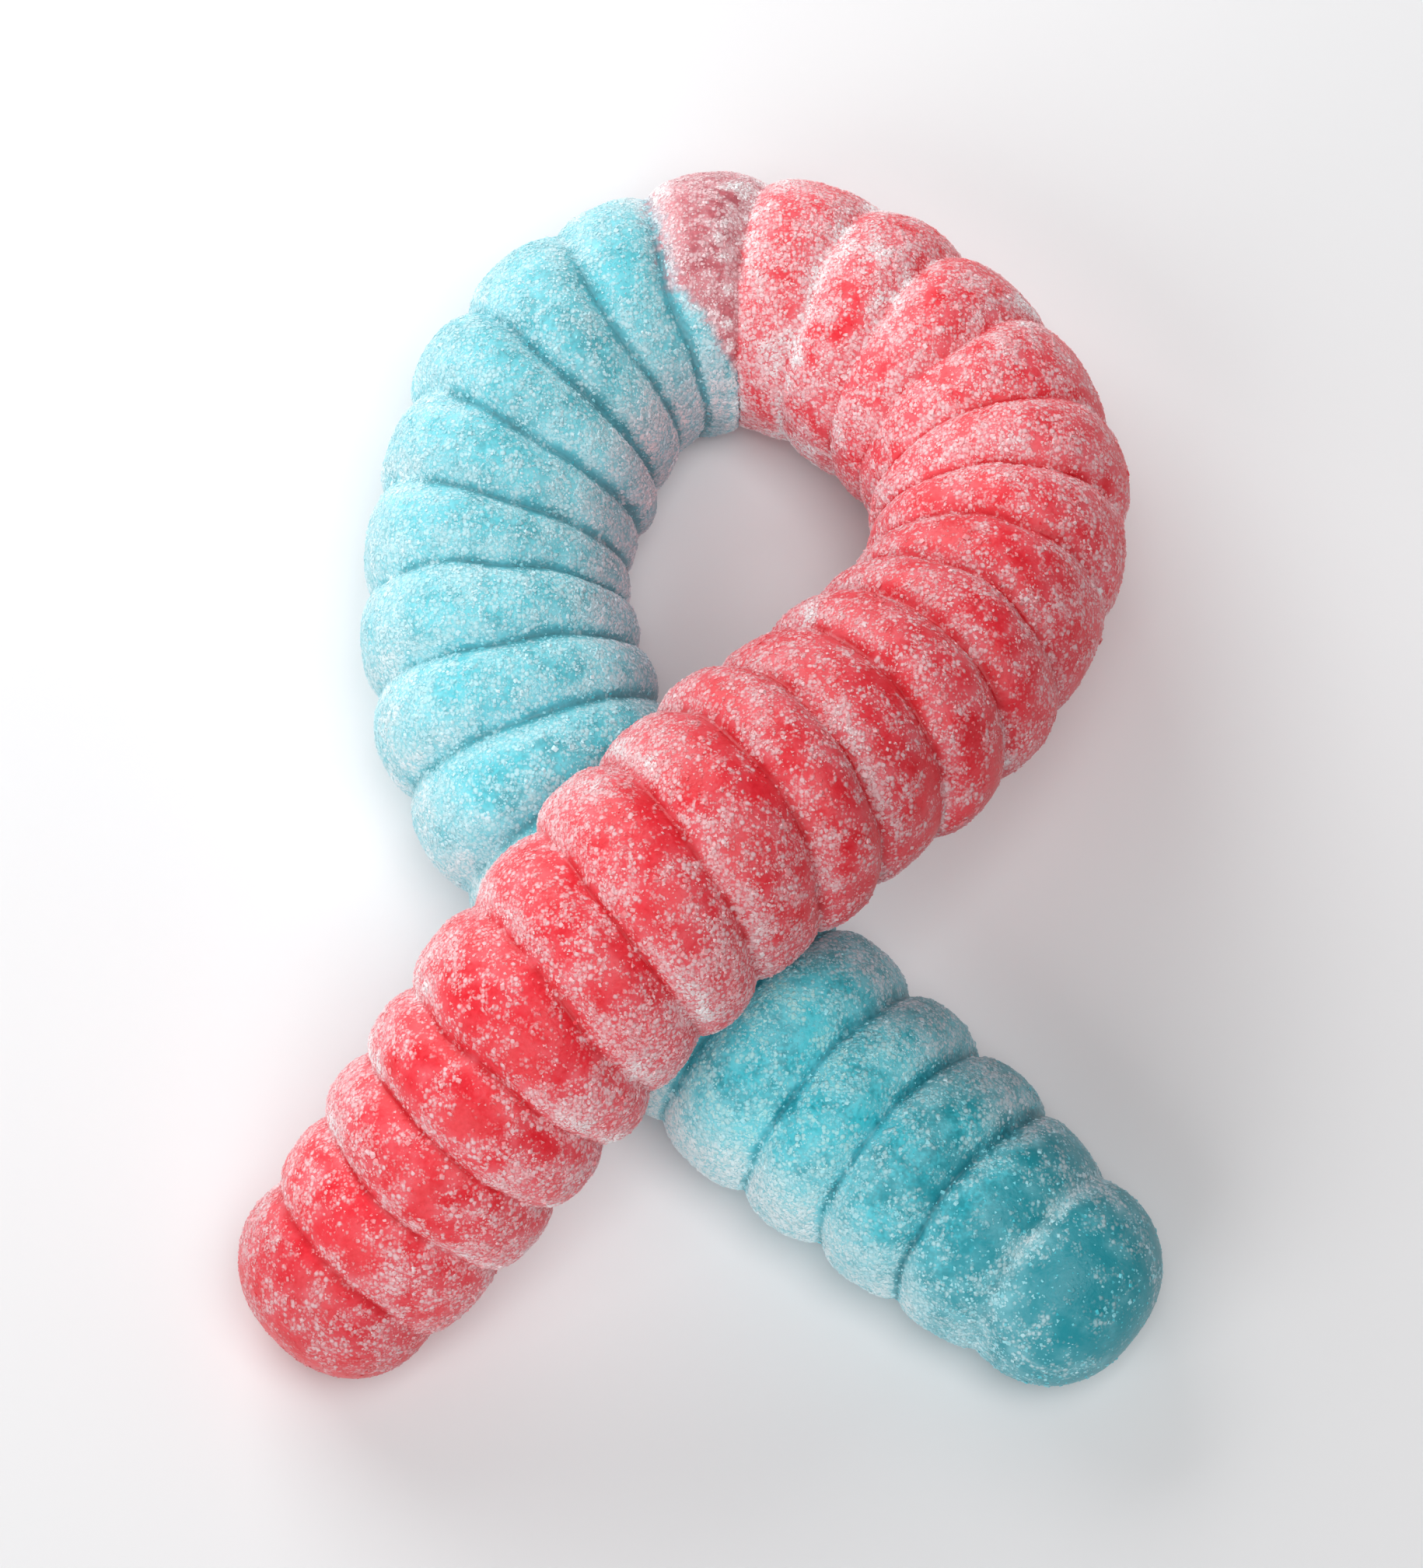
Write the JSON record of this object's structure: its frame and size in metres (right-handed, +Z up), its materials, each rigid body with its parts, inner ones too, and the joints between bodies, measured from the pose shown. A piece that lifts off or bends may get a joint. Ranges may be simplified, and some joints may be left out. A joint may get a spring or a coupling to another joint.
{
  "type": "gummy worm",
  "caption": "Sugared giant gummy worm lying in a ribbon loop, its red half crossing over its blue half, ringed like an earthworm.",
  "frame": {"origin": "centre of the lying worm's outline, on the table that it rests on", "axes": "+Z up from the table; +Y from the open tails to the top of the loop; +X towards the side with the blue tail"},
  "size_m": [0.0571, 0.0805, 0.0277],
  "materials": {
    "jelly_red": "translucent strawberry-red gelatine jelly, dusted with fine white sugar; the worm's red half",
    "jelly_blue": "translucent sky-blue gelatine jelly, dusted with fine white sugar; the worm's blue half, in the same moulded piece",
    "jelly_mauve": "dusky mauve jelly in the ring where the two colours ran together",
    "sugar": "clear to white sugar crystals of about 0.2 mm, stuck to the jelly"
  },
  "bodies": {
    "root": {"gummy_worm": "jelly_red"}
  },
  "joints": []
}
